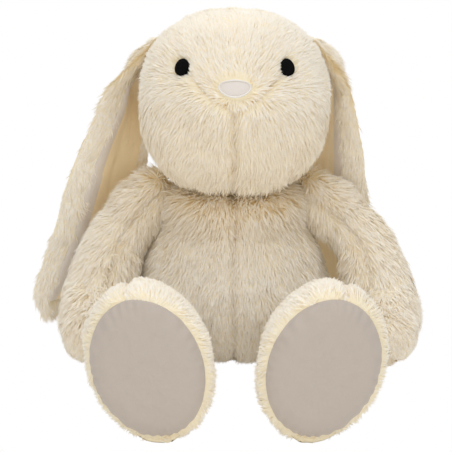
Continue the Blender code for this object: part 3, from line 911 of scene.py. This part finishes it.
def make_ears(density):
    """Each ear's fur side with the fur turned over its rim, and its lining: its own pale tone along the front
    and a warm painted shade in the recess behind.
    """
    for side, label in ((1, "left"), (-1, "right")):
        body = "ear_" + label
        blend = (
            "head",
            (side * (EAR_PIVOT[0] - 0.004), EAR_PIVOT[1], EAR_PIVOT[2] + 0.004),
            (side * (EAR_PIVOT[0] + 0.048), EAR_PIVOT[1], EAR_PIVOT[2] - 0.075),
        )
        flip = 1 if label == "left" else -1
        fur = Panel(
            "fur_ear_" + label,
            ear_surface(label, -EAR_HALF_THICK),
            -flip,
            ear_flow,
            body,
            ["ear_%s_outer" % label],
            size=EAR_SIZE,
            seams=(),
            rise=ear_rise,
            length=ear_length,
            lift=0.0015,
            blend=blend,
        )
        rng = np.random.default_rng(40 + side)
        parts = [fur_mesh(fur, rng, density)]
        rim = Panel(
            "rim",
            ear_surface(label, EAR_HALF_THICK),
            flip,
            ear_flow,
            body,
            [],
            size=EAR_SIZE,
            seams=(),
            rise=ear_rise,
            length=ear_length,
            lift=0.0025,
            cover=lambda u, v: (u < 0.25) | (u > 0.90) | (v > 0.955) | (v < 0.25),
        )
        parts.append(fur_mesh(rim, rng, density))
        corners, quads, tris, slots = join_parts(parts)
        obj = build_mesh(fur.name, corners, quads, tris, slots, FUR_SLOTS)
        finish_piece(obj, fur)

        nu, nv = 60, 220
        u, v = np.meshgrid(np.linspace(*LINING_U, nu), np.linspace(*LINING_V, nv))
        u, v = u.ravel(), v.ravel()
        p, n, _ = frame_at(ear_middle(label), u, v, flip)
        edge_u = np.minimum(u - LINING_U[0], LINING_U[1] - u) * 0.08
        edge_v = np.minimum(v - LINING_V[0], LINING_V[1] - v) * 0.32
        puff = LINING_PUFF * (1 - np.exp(-np.maximum(np.minimum(edge_u, edge_v), 0) / 0.004))
        wrinkles = 0.0007 * noise(p * np.array([1, 1, 0.35]), 0.008, 2) + 0.00018 * noise(p, 0.0012, 1)
        points = p + n * (0.0026 + puff + wrinkles)[:, None]
        points[:, 2] = np.maximum(points[:, 2], SKIN_LOW)
        quads = grid_mesh(nv, nu, False)
        # Behind the pale strip the lining takes the painted shade of the ear's recess.
        inner = (u > PALE_U + PALE_LEAN * v)[quads[:, 0]].astype(int)
        if flip < 0:
            quads = quads[:, ::-1]
        lining = build_mesh(
            "velour_ear_" + label, points, quads, np.zeros((0, 3), int), inner, [LINING_PALE, LINING_PAINTED_SHADE]
        )
        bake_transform(lining)
        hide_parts("ear_%s_lining" % label)


def join_parts(parts):
    """Several meshes' corners, faces and slots as one."""
    corners, quads, tris, quad_slots, tri_slots, base = [], [], [], [], [], 0
    for c, q, t, s in parts:
        corners.append(c)
        quads.append(q + base)
        tris.append(t + base)
        quad_slots.append(s[: len(q)])
        tri_slots.append(s[len(q) :])
        base += len(c)
    join = np.concatenate
    return join(corners), join(quads), join(tris), join(quad_slots + tri_slots)


# ---------------------------------------------------------------- soles


SOLE_SHARE = 0.955  # of the leg's end, the rest being the fur turned over its edge
SOLE_DOME, SOLE_TUCK = 0.0064, 0.0024  # how far its middle stands out, and how far its edge turns in
SOLE_PUCKERS = 31


def sole_outline(side, turns):
    """The edge of the leg's open end."""
    whole = limb_surface(LEG, LEG_LATERAL, side, False, 0.0)
    return whole(turns * 2.0, np.ones(len(turns)))


def make_soles():
    """Velour discs, domed by the filling and puckered where the fur is sewn on."""
    for side, label in ((1, "left"), (-1, "right")):
        turns = np.linspace(0, 1, 160, endpoint=False)
        edge = sole_outline(side, turns)
        middle = edge.mean(0)
        normal = np.cross(edge[len(edge) // 4] - middle, edge[0] - middle)
        normal = normal / np.linalg.norm(normal)
        if normal[1] > 0:
            normal = -normal
        shares = np.concatenate([np.linspace(0.02, 0.9, 44), np.linspace(0.92, 1.0, 10)])
        points = []
        for share in shares:
            ring = middle + (edge - middle) * share * SOLE_SHARE
            dome = SOLE_DOME * (1 - share**6) - SOLE_TUCK * share**14
            wave = np.cos(turns * math.tau * SOLE_PUCKERS + 3 * np.sin(turns * math.tau * 4))
            pucker = 0.0012 * wave * max(0.0, (share - 0.72) / 0.28) ** 2
            dents = 0.0021 * noise(ring, 0.022, 1) + 0.0009 * noise(ring, 0.0075, 2)
            nap = 0.00030 * noise(ring, 0.0016, 3)
            points.append(ring + normal * (dome + pucker + dents + nap)[:, None])
        points.append(middle + (edge - middle) * SOLE_SHARE - normal * 2 * SUNK)
        points = np.concatenate(points)
        quads = grid_mesh(len(shares) + 1, len(turns), True)
        hub = len(points)
        points = np.concatenate([points, [middle + normal * SOLE_DOME]])
        k = np.arange(len(turns))
        tris = np.stack([np.full(len(k), hub), (k + 1) % len(turns), k], -1)
        sole = build_mesh(
            "velour_sole_" + label, points, quads, tris, np.zeros(len(quads) + len(tris), int), [VELOUR]
        )
        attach(sole, "leg_" + label)
        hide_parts("sole_" + label)


# ---------------------------------------------------------------- the face and the label


EYE_HALF, EYE_LEAN = (0.0065, 0.0084), math.radians(14)
NOSE_HALF, NOSE_UP, NOSE_DOWN = 0.0128, 0.0046, 0.0072
NOSE_IN = 0.0016  # how deep in the pile the nose lies
NOSE_STITCHES = 130
SUNK = 0.0065  # how far down through the pile the edges of the sewn-on pieces reach


def eye_edge(turns):
    """An oval that leans inward at the top."""
    x, z = EYE_HALF[0] * np.cos(turns), EYE_HALF[1] * np.sin(turns)
    return (
        x * math.cos(EYE_LEAN) - z * math.sin(EYE_LEAN),
        x * math.sin(EYE_LEAN) + z * math.cos(EYE_LEAN),
    )


def nose_edge(turns, grow):
    """A rounded triangle, wide above and narrow below, grown by that much."""
    c, s = np.cos(turns), np.sin(turns)
    x = NOSE_HALF * np.sign(c) * np.abs(c) ** 0.8 * (1 - 0.30 * np.maximum(0, -s) ** 1.5)
    z = np.where(s > 0, NOSE_UP, NOSE_DOWN) * np.sign(s) * np.abs(s) ** 0.8
    stretch = 1 + grow / np.hypot(x, z)
    return x * stretch, z * stretch


def on_face(side, centre, x, z, proud):
    """Points on the face, x to the side and z up from a centre given as its two angles."""
    return head_point(side * (centre[0] + x / HEAD_HALF[0]), centre[1] + z / HEAD_HALF[1], proud)


def stitched(name, node, rings, count, material):
    """A piece on the face from its rings of points, the innermost one first."""
    points = np.concatenate(rings)
    quads = grid_mesh(len(rings), count, True)
    corner = points[quads[: count * 2]]
    normal = np.cross(corner[:, 1] - corner[:, 0], corner[:, 2] - corner[:, 0]).sum(0)
    if normal @ (points.mean(0) - HEAD_CENTRE) < 0:
        quads = quads[:, ::-1]
    piece = build_mesh(name, points, quads, np.zeros((0, 3), int), np.zeros(len(quads), int), [material])
    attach(piece, "head")
    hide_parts(node)


def make_face():
    """Satin-stitched eyes and nose edge, whose threads are fine ridges, and the nose's patch of velour."""
    turns = np.linspace(0, math.tau, 220, endpoint=False)
    for side, label in ((1, "left"), (-1, "right")):
        rings = []
        for share in np.append(np.linspace(0.001, 0.9, 26), (0.94, 0.98, 1.0, 1.01)):
            x, z = (share * part for part in eye_edge(turns))
            thread = np.abs(np.cos(z / THREAD * math.pi))
            rim = 1 + 0.03 * thread * (share > 0.9)
            height = 0.0003 + 0.0013 * max(0.0, 1 - share**4) ** 0.5 + 0.00016 * thread
            rings.append(on_face(side, (EYE_ACROSS, EYE_AROUND), x * rim, z, height))
        rings.append(on_face(side, (EYE_ACROSS, EYE_AROUND), x, z, -SUNK))
        stitched("stitch_eye_" + label, "eye_" + label, rings, len(turns), BLACK_THREAD)
    nose = (0.0, NOSE_AROUND)
    rings = []
    for share in np.linspace(0.001, 1.0, 30):
        x, z = (share * part for part in nose_edge(turns, 0.0))
        height = 0.0011 * (1 - share**6) - NOSE_IN
        rings.append(on_face(1, nose, x, z, height + 0.00005 * noise(np.stack([x, z, 0 * x], -1), 0.0006)))
    stitched("velour_nose", "nose_patch", rings, len(turns), NOSE)
    turns = np.linspace(0, math.tau, 1040, endpoint=False)
    rings = []
    for across in np.linspace(-1, 1, 9):
        x, z = nose_edge(turns, 0.0008 + 0.0009 * across)
        thread = np.abs(np.cos(turns * NOSE_STITCHES / 2))
        height = (0.0017 + 0.00022 * thread) * max(0.0, 1 - across**2) ** 0.5 - NOSE_IN
        rings.append(on_face(1, nose, x, z, height))
    rings.append(on_face(1, nose, x, z, -SUNK))
    stitched("stitch_nose_edge", "nose_border", rings, len(turns), WHITE_THREAD)


def make_label():
    """The blank ribbon in the seam beside the tail, which hangs down and swings out a little."""
    turn, half_wide, length = 0.165, 0.012, 0.034
    columns, rows = 25, 36
    across = np.array([-math.sin(turn * math.tau), math.cos(turn * math.tau), 0])
    out, down = np.array([across[1], -across[0], 0]), np.array([0, 0, 1])
    top = torso_surface(0)(np.array([turn * 4]), np.array([0.26]))[0] + out * 0.0027
    w, drop = np.meshgrid(np.linspace(-1, 1, columns), np.linspace(0, length, rows))
    w, drop = w.ravel(), drop.ravel()
    swing = 0.0075 * (drop / length) ** 1.8 + 0.0004 * w * drop / length
    weave = 0.00005 * np.cos(drop * 9000) * np.cos(w * 60)
    points = top + across * (w * half_wide)[:, None] + out * (swing + weave)[:, None] - down * drop[:, None]
    quads = grid_mesh(rows, columns, False)
    label = build_mesh(
        "ribbon_care_label", points, quads, np.zeros((0, 3), int), np.zeros(len(quads), int), [RIBBON]
    )
    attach(label, "torso")
    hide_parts("care_label")


# ---------------------------------------------------------------- light, floor and camera

DAYLIGHT = (1.0, 0.985, 0.96)
ROOM_LIGHT = 0.56  # how strongly the white room round the rabbit lights it
# Each lamp's name, place, what it points at, width, power and colour.
LAMPS = (
    ("key", (-0.35, -0.9, 1.5), (0, -0.05, 0.15), 1.1, 4.5, DAYLIGHT),
    ("fill", (1.2, -1.3, 0.5), (0, -0.05, 0.15), 1.0, 2.0, (1, 1, 1)),
    ("top", (0.0, 0.15, 1.5), (0, -0.03, 0.2), 1.2, 6.0, (1, 1, 1)),
    ("bounce", (0.0, -1.1, 0.06), (0, -0.1, 0.06), 0.7, 2.2, (1.0, 0.97, 0.92)),
)
FLOOR_REACH = 2  # how far the floor goes to each side
CAMERA_PLACE, CAMERA_TARGET = (-0.008, -1.14975, 0.47434), (-0.008, -0.05, 0.1381)
LENS, SENSOR_WIDTH = 93.88, 36  # in millimetres


def add_aimed(name, data, place, target):
    """Puts a lamp or a camera in the scene, pointed at the target."""
    obj = bpy.data.objects.new(name, data)
    bpy.context.scene.collection.objects.link(obj)
    obj.location = place
    obj.rotation_euler = (Vector(target) - Vector(place)).to_track_quat("-Z", "Y").to_euler()
    return obj


def make_room_light():
    """White all round: pure white where the camera sees it, and dimmer as a light."""
    world = bpy.data.worlds.new("studio")
    bpy.context.scene.world = world
    world.use_nodes = True
    tree = world.node_tree
    tree.nodes.clear()
    out = tree.nodes.new("ShaderNodeOutputWorld")
    mix = tree.nodes.new("ShaderNodeMixShader")
    path = tree.nodes.new("ShaderNodeLightPath")
    seen = tree.nodes.new("ShaderNodeBackground")
    lit = tree.nodes.new("ShaderNodeBackground")
    seen.inputs["Color"].default_value = (1, 1, 1, 1)
    seen.inputs["Strength"].default_value = 1.0
    lit.inputs["Color"].default_value = (*DAYLIGHT, 1)
    lit.inputs["Strength"].default_value = ROOM_LIGHT
    tree.links.new(path.outputs["Is Camera Ray"], mix.inputs[0])
    tree.links.new(lit.outputs[0], mix.inputs[1])
    tree.links.new(seen.outputs[0], mix.inputs[2])
    tree.links.new(mix.outputs[0], out.inputs["Surface"])


def make_lamps():
    for name, place, target, width, power, colour in LAMPS:
        data = bpy.data.lights.new(name, "AREA")
        data.shape = "DISK"
        data.size = width
        data.energy = power
        data.color = colour
        add_aimed(name, data, place, target)


def make_floor():
    """It throws light back up, and the camera doesn't see it."""
    far = FLOOR_REACH
    mesh = bpy.data.meshes.new("floor")
    mesh.from_pydata([(-far, -far, 0), (far, -far, 0), (far, far, 0), (-far, far, 0)], [], [(0, 1, 2, 3)])
    floor = bpy.data.objects.new("floor", mesh)
    bpy.context.scene.collection.objects.link(floor)
    mesh.materials.append(shader_material("floor", (0.92, 0.91, 0.89), 0.9))
    floor.visible_camera = False


def make_camera():
    scene = bpy.context.scene
    data = bpy.data.cameras.new("camera")
    data.lens, data.sensor_width = LENS, SENSOR_WIDTH
    scene.camera = add_aimed("camera", data, CAMERA_PLACE, CAMERA_TARGET)
    scene.cycles.max_bounces = 18
    scene.cycles.diffuse_bounces = 16
    scene.view_settings.view_transform = "Standard"
    scene.view_settings.look = "None"


# ---------------------------------------------------------------- main


def main():
    density = TUFTS_PER_M2 * 1.0
    for i, panel in enumerate(head_panels() + torso_panels() + limb_panels()):
        build_panel(panel, 100 + i, density)
    tail = Panel(
        "fur_tail", tail_surface, -1, tail_flow, "torso", ["tail_cover"], seams=(), size=(60, 30), rise=1.3
    )
    build_panel(tail, 99, density)
    make_ears(density)
    make_soles()
    make_face()
    make_label()
    for name, colour in (("neck_stitching", MIDDLE), ("seat_panel", SKIN)):
        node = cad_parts[name]
        node.data.materials.clear()
        node.data.materials.append(colour)
    make_room_light()
    make_lamps()
    make_floor()
    make_camera()


main()
